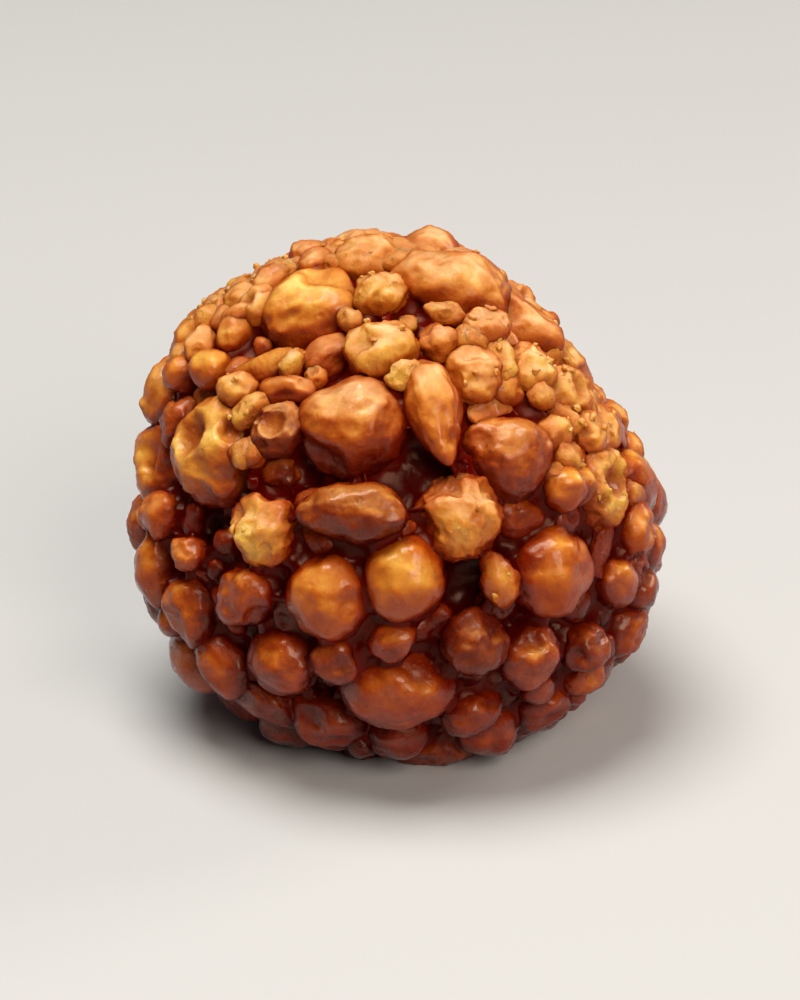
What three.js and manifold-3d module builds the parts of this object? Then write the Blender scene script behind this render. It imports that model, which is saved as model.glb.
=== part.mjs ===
// A boondi ladoo: fried gram-flour drops (boondi) in jaggery syrup, pressed by hand into a ball.
// Millimetres, +Z up. The origin is the middle of the flat spot that the ball rests on. The ball's
// face, where the drops are placed one by one, looks along -Y and a little up.
import * as THREE from "three";
import { mergeVertices } from "three/addons/utils/BufferGeometryUtils.js";
import Module from "manifold-3d";

// ---- the ball ----
const ladooWidth = 45;
const middleHeight = 19.1; // of the ball's middle above the flat spot
const faceElevation = 25; // degrees above level that the face looks
const faceEdge = 72; // degrees between the middle of the face and its edge
const coreDepth = 2.9; // of the syrup-filled core below the ball's outer reach
const coreGrip = 0.6; // least depth of a drop's foot in the core
const coreDetail = 3;

// Hand-pressed unevenness: a direction, how far the ball stands out there, and how tight it is.
const lumps = [
  { towards: [0.1, -0.1, 1.0], out: 0.6, tight: 5 },
  { towards: [0.8, 0.15, 0.58], out: -3.0, tight: 8 },
  { towards: [-0.33, 0.3, 0.9], out: 1.2, tight: 14 },
  { towards: [0.9, -0.3, -0.38], out: 1.5, tight: 6 },
  { towards: [-0.85, -0.3, -0.4], out: 1.2, tight: 6 },
  { towards: [-0.8, 0.0, 0.6], out: 2.2, tight: 14 },
  { towards: [0.25, -0.1, 0.95], out: 1.1, tight: 24 },
  { towards: [-0.6, 0.75, 0.3], out: -1.5, tight: 6 },
  { towards: [0.35, 0.9, 0.1], out: 0.9, tight: 6 },
  { towards: [0.1, -0.9, -0.5], out: 0.9, tight: 6 },
];

// ---- the drops ----
// Across and up are shares of the ball's radius as the face is seen, long and wide are the drop's
// size, and turn is the angle of its long side above level.
const faceDrops = [
  { kind: "oval", across: -0.37, up: 0.79, long: 9.2, wide: 8.2, turn: 20 },
  { kind: "bead", across: -0.12, up: 0.94, long: 6.6, wide: 5.6, turn: 0 },
  { kind: "bead", across: -0.08, up: 0.8, long: 5, wide: 4.6, turn: 0 },
  { kind: "oval", across: 0.22, up: 0.85, long: 10.4, wide: 8.2, turn: -10 },
  { kind: "oval", across: 0.5, up: 0.74, long: 8.6, wide: 4.8, turn: -48 },
  { kind: "bead", across: 0.33, up: 0.66, long: 4.6, wide: 4.2, turn: 0 },
  { kind: "bead", across: -0.08, up: 0.61, long: 6.4, wide: 6, turn: 0 },
  { kind: "flake", across: -0.54, up: 0.54, long: 7.4, wide: 3, turn: -3 },
  { kind: "bead", across: -0.76, up: 0.61, long: 5.8, wide: 5.4, turn: 70 },
  { kind: "oval", across: -0.89, up: 0.42, long: 7, wide: 5.2, turn: 60 },
  { kind: "crater", across: -0.78, up: 0.21, long: 9.8, wide: 9.2, turn: 75 },
  { kind: "bead", across: -0.63, up: 0.43, long: 3.8, wide: 3.6, turn: 0 },
  { kind: "crater", across: -0.49, up: 0.28, long: 5.2, wide: 4.6, turn: 20 },
  { kind: "oval", across: -0.46, up: 0.44, long: 5.6, wide: 2.8, turn: -8 },
  { kind: "bead", across: -0.2, up: 0.32, long: 9.2, wide: 8.8, turn: 20 },
  { kind: "drop", across: 0.14, up: 0.35, long: 9.4, wide: 4.6, turn: 98 },
  { kind: "bead", across: 0.3, up: 0.5, long: 5.6, wide: 4.8, turn: 75 },
  { kind: "bead", across: 0.52, up: 0.53, long: 5.2, wide: 4.8, turn: 30 },
  { kind: "crater", across: 0.7, up: 0.45, long: 5.8, wide: 5.4, turn: 0 },
  { kind: "drop", across: 0.45, up: 0.19, long: 8, wide: 7.2, turn: 150 },
  { kind: "flake", across: 0.37, up: 0.37, long: 4.6, wide: 2.6, turn: 25 },
  { kind: "bead", across: 0.77, up: 0.27, long: 4.8, wide: 4.2, turn: 40 },
  { kind: "bead", across: 0.63, up: 0.27, long: 3.6, wide: 3.2, turn: 60 },
  { kind: "bead", across: 0.65, up: 0.04, long: 4, wide: 3.8, turn: 0 },
  { kind: "crater", across: 0.83, up: 0.05, long: 7.4, wide: 6.6, turn: 100 },
  { kind: "oval", across: -0.18, up: -0.05, long: 9.4, wide: 4.8, turn: -2 },
  { kind: "bead", across: 0.25, up: -0.07, long: 7.8, wide: 7.4, turn: 70 },
  { kind: "bead", across: -0.56, up: -0.12, long: 6.6, wide: 6.2, turn: 80 },
  { kind: "bead", across: -0.29, up: -0.41, long: 7.4, wide: 7, turn: 80 },
  { kind: "bead", across: 0.02, up: -0.33, long: 7.2, wide: 6.8, turn: 85 },
  { kind: "bead", across: 0.62, up: -0.31, long: 8, wide: 7.2, turn: 78 },
  { kind: "flake", across: 0.81, up: -0.2, long: 5, wide: 2.8, turn: 80 },
  { kind: "oval", across: 0.92, up: -0.12, long: 5.6, wide: 4, turn: 80 },
  { kind: "bead", across: 0.91, up: -0.34, long: 4, wide: 3.8, turn: 0 },
  { kind: "bead", across: 0.29, up: -0.57, long: 6, wide: 5.6, turn: 0 },
  { kind: "oval", across: 0.51, up: -0.62, long: 6.2, wide: 5.2, turn: 80 },
  { kind: "bead", across: 0.71, up: -0.57, long: 5, wide: 4.6, turn: 0 },
  { kind: "oval", across: 0.85, up: -0.49, long: 5.8, wide: 4.6, turn: 75 },
  { kind: "oval", across: -0.01, up: -0.77, long: 9.6, wide: 7.2, turn: 0 },
  { kind: "bead", across: -0.84, up: -0.21, long: 3.4, wide: 3.2, turn: 0 },
  { kind: "bead", across: -0.94, up: -0.06, long: 4.4, wide: 4.2, turn: 60 },
  { kind: "bead", across: -0.62, up: -0.39, long: 5.8, wide: 5.4, turn: 40 },
  { kind: "oval", across: -0.82, up: -0.44, long: 6.6, wide: 5.4, turn: 60 },
  { kind: "bead", across: -0.47, up: -0.66, long: 6.6, wide: 6.2, turn: 20 },
  { kind: "drop", across: -0.69, up: -0.64, long: 6.8, wide: 4.8, turn: 130 },
  { kind: "bead", across: -0.25, up: -0.63, long: 4.2, wide: 4, turn: 0 },
  { kind: "bead", across: 0.28, up: -0.83, long: 5.2, wide: 4.8, turn: 0 },
  { kind: "oval", across: -0.29, up: -0.88, long: 7, wide: 5.4, turn: -20 },
  { kind: "bead", across: 0.55, up: -0.8, long: 5.2, wide: 4.8, turn: 0 },
];
const faceDropDepth = 0.92; // share of its width
const faceFlakeDepth = 0.6;

// The other drops are strewn over the ball, the largest first, and then press each other apart.
// On the face they only fill gaps that are large enough, and sit lower than the placed ones.
const strewnDrops = [
  { count: 10, radius: [3.6, 4.3] },
  { count: 38, radius: [2.8, 3.5] },
  { count: 36, radius: [2.1, 2.7] },
  { count: 24, radius: [1.5, 1.9] },
];
const faceSunk = 0.6;
const triesPerDrop = 60;
const pressings = 60;
const squeeze = 1; // share of their two radii that neighbours keep between their middles
const unevenness = 0.8; // between the drops that stand out most and least
const seed = 20517;

// How often each form of drop comes, and its length, width and depth against its mean radius.
const dropForms = {
  bead: { share: 0.4, size: [1.06, 1.0, 0.96] },
  oval: { share: 0.24, size: [1.28, 0.96, 0.9] },
  drop: { share: 0.12, size: [1.42, 0.92, 0.88] },
  crater: { share: 0.1, size: [1.12, 1.04, 0.86] },
  twin: { share: 0.06, size: [1.5, 0.9, 0.84] },
  flake: { share: 0.08, size: [1.4, 1.06, 0.62] },
};

// How the forms differ from a plain bead, as shares of a drop's half size.
const dropTaper = 0.42;
const crater = { depth: 0.5, width: 0.4 };
const twinWaist = { depth: 0.3, width: 0.28 };
const flakeTwist = 0.2;

// How finely a drop is faceted, by its mean radius.
const dropSides = [
  { over: 3.5, sides: 8, rings: 5 },
  { over: 2.6, sides: 7, rings: 4 },
  { over: 2.0, sides: 6, rings: 4 },
  { over: 0, sides: 5, rings: 3 },
];

const weldDistance = 0.0001;

// ---- where the drops lie ----
const radians = (degrees) => (degrees * Math.PI) / 180;

// Numbers drawn by the seed, the same each time.
THREE.MathUtils.seededRandom(seed);
const between = (low, high) => low + (high - low) * THREE.MathUtils.seededRandom();

for (const lump of lumps) lump.towards = new THREE.Vector3(...lump.towards).normalize();

// The directions that lie right, up and outwards as the face is seen.
const faceTilt = radians(faceElevation);
const faceRight = new THREE.Vector3(1, 0, 0);
const faceUp = new THREE.Vector3(0, Math.sin(faceTilt), Math.cos(faceTilt));
const faceOut = new THREE.Vector3(0, -Math.cos(faceTilt), Math.sin(faceTilt));

// How far the drops reach from the ball's middle in a direction.
function reachTowards(direction) {
  let reach = ladooWidth / 2;
  for (const { towards, out, tight } of lumps) {
    reach += out * Math.max(0, direction.dot(towards)) ** tight;
  }
  return reach;
}

// A direction drawn evenly from all round the ball.
function anyDirection() {
  const height = between(-1, 1);
  const turn = between(0, 2 * Math.PI);
  const out = Math.sqrt(1 - height * height);
  return new THREE.Vector3(out * Math.cos(turn), out * Math.sin(turn), height);
}

function anyKind() {
  let left = between(0, 1);
  for (const [kind, form] of Object.entries(dropForms)) {
    left -= form.share;
    if (left < 0) return kind;
  }
  return "bead";
}

// A drop whose long side lies along the ball's surface, as near to the direction along as can be.
function makeDrop(drop) {
  drop.radius = (drop.halfSizes[0] + drop.halfSizes[1] + drop.halfSizes[2]) / 3;
  setMiddle(drop);
  return drop;
}

// A drop's top meets the ball's reach, but its foot goes down into the core.
function setMiddle(drop) {
  const half = drop.halfSizes[2];
  const above = Math.min(drop.proud - half, half - coreDepth - coreGrip);
  drop.middle = drop.outward.clone().multiplyScalar(reachTowards(drop.outward) + above);
}

function makeFaceDrop({ kind, across, up, long, wide, turn }) {
  const outward = faceOut
    .clone()
    .multiplyScalar(Math.sqrt(1 - across * across - up * up))
    .addScaledVector(faceRight, across)
    .addScaledVector(faceUp, up);
  const along = faceRight
    .clone()
    .multiplyScalar(Math.cos(radians(turn)))
    .addScaledVector(faceUp, Math.sin(radians(turn)));
  const deep = wide * (kind === "flake" ? faceFlakeDepth : faceDropDepth);
  const halfSizes = [long / 2, wide / 2, deep / 2];
  return makeDrop({ kind, outward, along, halfSizes, proud: 0, staysPut: true });
}

// How much room is left between a place and the nearest drop.
const roomAt = (place, drops) =>
  Math.min(...drops.map((drop) => drop.middle.distanceTo(place) - drop.radius));

const onFace = (direction) => direction.angleTo(faceOut) < radians(faceEdge);

// Of many directions drawn at random, the one with the most room, and on the face with the least
// that is asked for.
function roomiestDirection(drops, least) {
  let best;
  let mostRoom = -Infinity;
  for (let i = 0; i < triesPerDrop; i++) {
    const direction = anyDirection();
    const room = roomAt(direction.clone().multiplyScalar(ladooWidth / 2 - coreDepth), drops);
    if (room > mostRoom && (room > least || !onFace(direction))) {
      mostRoom = room;
      best = direction;
    }
  }
  return best;
}

function strewDrops(drops, { count, radius }) {
  for (let i = 0; i < count; i++) {
    const kind = anyKind();
    const outward = roomiestDirection(drops, radius[0]);
    const along = anyDirection();
    const size = between(...radius);
    const halfSizes = dropForms[kind].size.map((share) => share * size);
    const sunk = onFace(outward) ? faceSunk : 0;
    const proud = between(-unevenness / 2, unevenness / 2) - sunk;
    drops.push(makeDrop({ kind, outward, along, halfSizes, proud, staysPut: false }));
  }
}

// Drops that are too close slide apart along the ball's surface. Those of the face stay put.
function pressApart(drops) {
  for (const drop of drops) drop.push = new THREE.Vector3();
  for (let i = 0; i < drops.length; i++) {
    for (let j = i + 1; j < drops.length; j++) {
      const apart = drops[j].middle.clone().sub(drops[i].middle);
      const overlap = squeeze * (drops[i].radius + drops[j].radius) - apart.length();
      if (overlap > 0) {
        apart.setLength(overlap / 2);
        drops[i].push.sub(apart);
        drops[j].push.add(apart);
      }
    }
  }
  for (const drop of drops) {
    if (drop.staysPut) continue;
    drop.outward.copy(drop.middle).add(drop.push).normalize();
    setMiddle(drop);
  }
}

// ---- forms ----
const bell = (distance, width) => Math.exp(-((distance / width) ** 2));

// A point of a unit ball, moved to the drop's form. X is along the drop and Z is outwards.
function shapePoint(kind, p) {
  let narrowed = 1;
  if (kind === "drop") narrowed = 1 - dropTaper * Math.max(0, p.x);
  if (kind === "twin") narrowed = 1 - twinWaist.depth * bell(p.x, twinWaist.width);
  p.y *= narrowed;
  p.z *= narrowed;
  if (kind === "crater" && p.z > 0) p.z -= crater.depth * bell(Math.hypot(p.x, p.y), crater.width);
  if (kind === "flake") p.z += flakeTwist * p.x * p.y;
}

function dropGeometry(drop) {
  const [long, wide, deep] = drop.halfSizes;
  const length = drop.along.clone().projectOnPlane(drop.outward).normalize();
  const width = new THREE.Vector3().crossVectors(drop.outward, length);
  const { sides, rings } = dropSides.find((size) => drop.radius > size.over);
  const geometry = new THREE.SphereGeometry(1, sides, rings).rotateX(Math.PI / 2);
  const position = geometry.getAttribute("position");
  const p = new THREE.Vector3();
  for (let i = 0; i < position.count; i++) {
    p.fromBufferAttribute(position, i);
    shapePoint(drop.kind, p);
    position.setXYZ(i, p.x * long, p.y * wide, p.z * deep);
  }
  geometry.applyMatrix4(new THREE.Matrix4().makeBasis(length, width, drop.outward));
  return geometry.translate(...drop.middle.toArray());
}

function coreGeometry() {
  const geometry = new THREE.IcosahedronGeometry(1, coreDetail);
  const position = geometry.getAttribute("position");
  const p = new THREE.Vector3();
  for (let i = 0; i < position.count; i++) {
    p.fromBufferAttribute(position, i).normalize();
    p.multiplyScalar(reachTowards(p) - coreDepth);
    position.setXYZ(i, p.x, p.y, p.z);
  }
  return geometry;
}

// What lies below the flat spot, to be cut away.
function underFootGeometry() {
  const size = 2 * ladooWidth;
  return new THREE.BoxGeometry(size, size, size).translate(0, 0, -middleHeight - size / 2);
}

// ---- joining ----
const wasm = await Module();
wasm.setup();

function solidOf(geometry) {
  geometry.deleteAttribute("normal");
  geometry.deleteAttribute("uv");
  const merged = mergeVertices(geometry, weldDistance);
  return new wasm.Manifold(
    new wasm.Mesh({
      numProp: 3,
      vertProperties: merged.getAttribute("position").array,
      triVerts: new Uint32Array(merged.index.array),
    }),
  );
}

function geometryOf(solid) {
  const { vertProperties, triVerts } = solid.getMesh();
  const geometry = new THREE.BufferGeometry();
  geometry.setAttribute("position", new THREE.BufferAttribute(vertProperties, 3));
  geometry.setIndex(new THREE.BufferAttribute(triVerts, 1));
  return geometry;
}

// The largest body alone, so that gaps sealed inside the ball are filled.
function largestBody(solid) {
  return solid.decompose().reduce((a, b) => (b.volume() > a.volume() ? b : a));
}

const drops = faceDrops.map(makeFaceDrop);
for (const size of strewnDrops) strewDrops(drops, size);
for (let i = 0; i < pressings; i++) pressApart(drops);

let ball = solidOf(coreGeometry());
for (const drop of drops) ball = ball.add(solidOf(dropGeometry(drop)));
ball = largestBody(ball.subtract(solidOf(underFootGeometry())));

const ladooGeometry = geometryOf(ball).translate(0, 0, middleHeight);
ladooGeometry.computeVertexNormals();

const ladoo = new THREE.Mesh(
  ladooGeometry,
  new THREE.MeshStandardMaterial({ color: 0xa8622c, roughness: 0.35, metalness: 0 }),
);
ladoo.name = "ladoo";

const part = new THREE.Group();
part.add(ladoo);

export default part;
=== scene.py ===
# A boondi ladoo: fried gram-flour drops in jaggery syrup, pressed by hand into a ball.
import math
import random

import bpy
import numpy as np
from mathutils import Matrix, Vector


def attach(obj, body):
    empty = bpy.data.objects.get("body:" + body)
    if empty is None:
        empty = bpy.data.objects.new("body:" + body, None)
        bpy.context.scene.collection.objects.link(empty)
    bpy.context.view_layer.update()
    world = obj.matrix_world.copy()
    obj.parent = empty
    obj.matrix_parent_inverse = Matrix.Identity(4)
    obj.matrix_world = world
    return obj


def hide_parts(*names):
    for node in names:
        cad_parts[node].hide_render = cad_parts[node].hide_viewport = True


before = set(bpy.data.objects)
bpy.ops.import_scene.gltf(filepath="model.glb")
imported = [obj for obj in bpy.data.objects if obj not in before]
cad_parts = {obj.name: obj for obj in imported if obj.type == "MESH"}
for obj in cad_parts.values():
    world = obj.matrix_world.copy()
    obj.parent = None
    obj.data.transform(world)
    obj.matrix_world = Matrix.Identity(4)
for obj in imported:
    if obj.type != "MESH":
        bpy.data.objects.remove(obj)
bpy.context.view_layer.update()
print("frame loaded")

mm = 0.001

# where the drops lie, by the same rule and the same seed as the solid ball
ball = {
    "width": 45.0,  # mm, before the lumps
    "middleHeight": 19.1,  # of the ball's middle above the flat spot
    "faceElevation": 25.0,  # degrees above level that the face looks
    "faceEdge": 72.0,  # degrees between the middle of the face and its edge
    "faceSunk": 0.6,  # how much lower the strewn drops on the face sit than the placed ones
    "coreDepth": 2.9,
    "coreGrip": 0.6,
    "triesPerDrop": 60,
    "pressings": 60,
    "unevenness": 0.8,
    "seed": 20517,
    # a direction, how far the ball stands out there, and how tight it is
    "lumps": [
        ((0.1, -0.1, 1.0), 0.6, 5),
        ((0.8, 0.15, 0.58), -3.0, 8),
        ((-0.33, 0.3, 0.9), 1.2, 14),
        ((0.9, -0.3, -0.38), 1.5, 6),
        ((-0.85, -0.3, -0.4), 1.2, 6),
        ((-0.8, 0.0, 0.6), 2.2, 14),
        ((0.25, -0.1, 0.95), 1.1, 24),
        ((-0.6, 0.75, 0.3), -1.5, 6),
        ((0.35, 0.9, 0.1), 0.9, 6),
        ((0.1, -0.9, -0.5), 0.9, 6),
    ],
}

# kind, across and up as shares of the radius, length and width in mm, turn above level,
# tone from 0 (pale gold) to 1 (red-brown), and how crumpled it is
faceDrops = [
    ("oval", -0.37, 0.79, 9.2, 8.2, 20, 0.1, 0.3),
    ("bead", -0.12, 0.94, 6.6, 5.6, 0, 0.24, 0.7),
    ("bead", -0.08, 0.8, 5, 4.6, 0, 0.22, 0.7),
    ("oval", 0.22, 0.85, 10.4, 8.2, -10, 0.34, 0.35),
    ("oval", 0.5, 0.74, 8.6, 4.8, -48, 0.58, 0.5),
    ("bead", 0.33, 0.66, 4.6, 4.2, 0, 0.5, 0.6),
    ("bead", -0.08, 0.61, 6.4, 6, 0, 0.18, 0.7),
    ("flake", -0.54, 0.54, 7.4, 3, -3, 0.04, 0.3),
    ("bead", -0.76, 0.61, 5.8, 5.4, 70, 0.34, 0.5),
    ("oval", -0.89, 0.42, 7, 5.2, 60, 0.42, 0.5),
    ("crater", -0.78, 0.21, 9.8, 9.2, 75, 0, 0.5),
    ("bead", -0.63, 0.43, 3.8, 3.6, 0, 0.22, 0.6),
    ("crater", -0.49, 0.28, 5.2, 4.6, 20, 1, 0.5),
    ("oval", -0.46, 0.44, 5.6, 2.8, -8, 0.62, 0.3),
    ("bead", -0.2, 0.32, 9.2, 8.8, 20, 0.72, 0.35),
    ("drop", 0.14, 0.35, 9.4, 4.6, 98, 0.46, 0.15),
    ("bead", 0.3, 0.5, 5.6, 4.8, 75, 0.5, 0.6),
    ("bead", 0.52, 0.53, 5.2, 4.8, 30, 0.32, 1),
    ("crater", 0.7, 0.45, 5.8, 5.4, 0, 0.24, 0.8),
    ("drop", 0.45, 0.19, 8, 7.2, 150, 0.8, 0.35),
    ("flake", 0.37, 0.37, 4.6, 2.6, 25, 0.4, 0.6),
    ("bead", 0.77, 0.27, 4.8, 4.2, 40, 0.44, 0.7),
    ("bead", 0.63, 0.27, 3.6, 3.2, 60, 0.34, 0.7),
    ("bead", 0.65, 0.04, 4, 3.8, 0, 0.36, 0.2),
    ("crater", 0.83, 0.05, 7.4, 6.6, 100, 0.08, 1),
    ("oval", -0.18, -0.05, 9.4, 4.8, -2, 1, 0.25),
    ("bead", 0.25, -0.07, 7.8, 7.4, 70, 0.5, 1),
    ("bead", -0.56, -0.12, 6.6, 6.2, 80, 0.12, 0.9),
    ("bead", -0.29, -0.41, 7.4, 7, 80, 0.3, 0.05),
    ("bead", 0.02, -0.33, 7.2, 6.8, 85, 0.16, 0.05),
    ("bead", 0.62, -0.31, 8, 7.2, 78, 0.46, 0.2),
    ("flake", 0.81, -0.2, 5, 2.8, 80, 0.58, 0.6),
    ("oval", 0.92, -0.12, 5.6, 4, 80, 0.48, 0.5),
    ("bead", 0.91, -0.34, 4, 3.8, 0, 0.9, 0.2),
    ("bead", 0.29, -0.57, 6, 5.6, 0, 1, 0.4),
    ("oval", 0.51, -0.62, 6.2, 5.2, 80, 0.72, 0.4),
    ("bead", 0.71, -0.57, 5, 4.6, 0, 0.85, 0.3),
    ("oval", 0.85, -0.49, 5.8, 4.6, 75, 0.7, 0.4),
    ("oval", -0.01, -0.77, 9.6, 7.2, 0, 0.5, 0.15),
    ("bead", -0.84, -0.21, 3.4, 3.2, 0, 0.5, 0.6),
    ("bead", -0.94, -0.06, 4.4, 4.2, 60, 0.6, 0.5),
    ("bead", -0.62, -0.39, 5.8, 5.4, 40, 0.75, 0.3),
    ("oval", -0.82, -0.44, 6.6, 5.4, 60, 0.62, 0.4),
    ("bead", -0.47, -0.66, 6.6, 6.2, 20, 0.68, 0.2),
    ("drop", -0.69, -0.64, 6.8, 4.8, 130, 0.56, 0.3),
    ("bead", -0.25, -0.63, 4.2, 4, 0, 0.85, 0.3),
    ("bead", 0.28, -0.83, 5.2, 4.8, 0, 0.74, 0.3),
    ("oval", -0.29, -0.88, 7, 5.4, -20, 0.62, 0.3),
    ("bead", 0.55, -0.8, 5.2, 4.8, 0, 0.68, 0.3),
]
faceDropDepth = {"flake": 0.6, "other": 0.92}

# how many, and their mean radius in mm, the largest first
strewnDrops = [(10, 3.6, 4.3), (38, 2.8, 3.5), (36, 2.1, 2.7), (24, 1.5, 1.9)]

# the small ones that only show in the gaps, and the dark gaps of the face that stay open
gapDrops = {
    "count": 120,
    "radius": (1.0, 2.1),  # mm
    "deep": (0.2, 1.3),  # mm below the ball's outline
    "deeperOnFace": 1.7,
    "leastRoom": 0.75,
    "tries": 120,
    "pressings": 12,
    "open": [(-0.42, 0.1), (0.05, 0.13), (-0.4, 0.64), (0.12, 0.6), (0.47, -0.05),
             (-0.8, -0.08), (-0.02, -0.53), (0.25, -0.36), (-0.12, 0.1), (-0.45, -0.24),
             (0.2, 0.14)],
    "openness": 7.6,  # degrees round each
}

# the crumbly bits that fill the gaps on top and down the right flank, where the syrup has drained
crustBits = {
    "count": 120,
    "leastRoom": 0.0,
    "radius": (1.0, 1.9),  # mm
    "deep": (0.2, 1.1),
    "towards": (0.15, -0.15, 1.0),
    "within": 62.0,  # degrees
    "flank": (0.75, 0.4),  # across and up on the face
    "flankWithin": 26.0,
    "tries": 90,
    # away from the flank the face takes only bits that fit its gaps
    "roomier": 0.35,
    "snug": 0.7,
    "tone": (0.05, 0.5),
    "crumple": (0.4, 0.9),
}

# share, then length, width and depth against the mean radius
dropForms = {
    "bead": (0.4, (1.06, 1.0, 0.96)),
    "oval": (0.24, (1.28, 0.96, 0.9)),
    "drop": (0.12, (1.42, 0.92, 0.88)),
    "crater": (0.1, (1.12, 1.04, 0.86)),
    "twin": (0.06, (1.5, 0.9, 0.84)),
    "flake": (0.08, (1.4, 1.06, 0.62)),
}

drawState = ball["seed"]


def draw(low=0.0, high=1.0):
    # the solid's own generator of random numbers
    global drawState
    drawState = (drawState + 0x6D2B79F5) & 0xFFFFFFFF
    t = drawState
    t = ((t ^ (t >> 15)) * (t | 1)) & 0xFFFFFFFF
    t ^= (t + (((t ^ (t >> 7)) * (t | 61)) & 0xFFFFFFFF)) & 0xFFFFFFFF
    return low + (high - low) * ((t ^ (t >> 14)) & 0xFFFFFFFF) / 4294967296


draw()  # seeding the part's own draws uses up the first one
lumpDirections = np.array([towards / np.linalg.norm(towards) for towards, _, _ in ball["lumps"]])


def reachTowards(directions):
    reach = np.full(directions.shape[:-1], ball["width"] / 2)
    for towards, (_, out, tight) in zip(lumpDirections, ball["lumps"]):
        reach = reach + out * np.maximum(0, directions @ towards) ** tight
    return reach


def anyDirection():
    height = draw(-1, 1)
    turn = draw(0, 2 * math.pi)
    out = math.sqrt(1 - height * height)
    return np.array([out * math.cos(turn), out * math.sin(turn), height])


def anyKind():
    left = draw()
    for kind, (share, _) in dropForms.items():
        left -= share
        if left < 0:
            return kind
    return "bead"


def setMiddle(drop):
    # the ball's own drops reach its outline where its core still holds them, the others are sunk
    half = drop["half"][2]
    above = min(drop["proud"] - half, half - ball["coreDepth"] - ball["coreGrip"])
    if drop["sunk"] is not None:
        above = -half - drop["sunk"]
    drop["middle"] = drop["outward"] * (reachTowards(drop["outward"]) + above)


def makeDrop(kind, outward, along, half, proud, staysPut, sunk=None):
    drop = {"kind": kind, "outward": outward, "along": along, "half": half, "proud": proud,
            "staysPut": staysPut, "radius": sum(half) / 3, "sunk": sunk}
    setMiddle(drop)
    return drop


faceEdge = math.cos(math.radians(ball["faceEdge"]))
faceTilt = math.radians(ball["faceElevation"])
faceRight = np.array([1.0, 0, 0])
faceUp = np.array([0, math.sin(faceTilt), math.cos(faceTilt)])
faceOut = np.array([0, -math.cos(faceTilt), math.sin(faceTilt)])


def onFace(directions):
    return directions @ faceOut > faceEdge


def faceDirection(across, up):
    return faceOut * math.sqrt(1 - across * across - up * up) + faceRight * across + faceUp * up


def makeFaceDrop(kind, across, up, long, wide, turn, tone, crumple):
    outward = faceDirection(across, up)
    along = faceRight * math.cos(math.radians(turn)) + faceUp * math.sin(math.radians(turn))
    deep = wide * faceDropDepth.get(kind, faceDropDepth["other"])
    drop = makeDrop(kind, outward, along, (long / 2, wide / 2, deep / 2), 0, True)
    drop["tone"] = tone
    drop["crumple"] = crumple
    return drop


noRoom = -99.0  # rules a direction out
openGaps = np.array([faceDirection(*place) for place in gapDrops["open"]])
openEdge = math.cos(math.radians(gapDrops["openness"]))


def roomiestDirection(drops, tries, least=None, keepOpen=False, only=None):
    middles = np.array([d["middle"] for d in drops])
    radii = np.array([d["radius"] for d in drops])
    directions = np.array([anyDirection() for _ in range(tries)])
    places = directions * (ball["width"] / 2 - ball["coreDepth"])
    room = (np.linalg.norm(places[:, None] - middles[None], axis=2) - radii[None]).min(axis=1)
    if least is not None:
        room[onFace(directions) & (room <= least)] = noRoom
    if only is not None:
        room[~only(directions)] = noRoom
    if keepOpen:
        room[(directions @ openGaps.T).max(axis=1) > openEdge] = noRoom
    best = int(np.argmax(room))
    return directions[best], room[best]


def strewDrops(drops, count, low, high):
    for _ in range(count):
        kind = anyKind()
        outward, _ = roomiestDirection(drops, ball["triesPerDrop"], low)
        along = anyDirection()
        size = draw(low, high)
        half = tuple(share * size for share in dropForms[kind][1])
        sunk = ball["faceSunk"] if onFace(outward) else 0
        proud = draw(-ball["unevenness"] / 2, ball["unevenness"] / 2) - sunk
        drops.append(makeDrop(kind, outward, along, half, proud, False))


def pressApart(drops):
    middles = np.array([d["middle"] for d in drops])
    radii = np.array([d["radius"] for d in drops])
    apart = middles[None] - middles[:, None]
    distance = np.linalg.norm(apart, axis=2)
    overlap = radii[None] + radii[:, None] - distance
    np.fill_diagonal(overlap, 0)
    np.fill_diagonal(distance, 1)
    push = (apart * (np.maximum(overlap, 0) / 2 / distance)[:, :, None]).sum(axis=0)
    for drop, middle, by in zip(drops, middles, push):
        if not drop["staysPut"]:
            outward = middle + by
            drop["outward"] = outward / np.linalg.norm(outward)
            setMiddle(drop)


drops = [makeFaceDrop(*row) for row in faceDrops]
for row in strewnDrops:
    strewDrops(drops, *row)
for _ in range(ball["pressings"]):
    pressApart(drops)
for drop in drops:
    drop["staysPut"] = True

for _ in range(gapDrops["count"]):
    kind = anyKind()
    outward, _ = roomiestDirection(drops, gapDrops["tries"], gapDrops["leastRoom"], keepOpen=True)
    size = draw(*gapDrops["radius"])
    half = tuple(share * size for share in dropForms[kind][1])
    deep = draw(*gapDrops["deep"]) + (gapDrops["deeperOnFace"] if onFace(outward) else 0)
    drops.append(makeDrop(kind, outward, anyDirection(), half, 0, False, deep))
for _ in range(gapDrops["pressings"]):
    pressApart(drops)

crustTop = np.array(crustBits["towards"]) / np.linalg.norm(crustBits["towards"])
crustTopEdge = math.cos(math.radians(crustBits["within"]))
crustFlank = faceDirection(*crustBits["flank"])
crustFlankEdge = math.cos(math.radians(crustBits["flankWithin"]))


def whereCrusty(directions):
    return (directions @ crustTop > crustTopEdge) | (directions @ crustFlank > crustFlankEdge)


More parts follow.
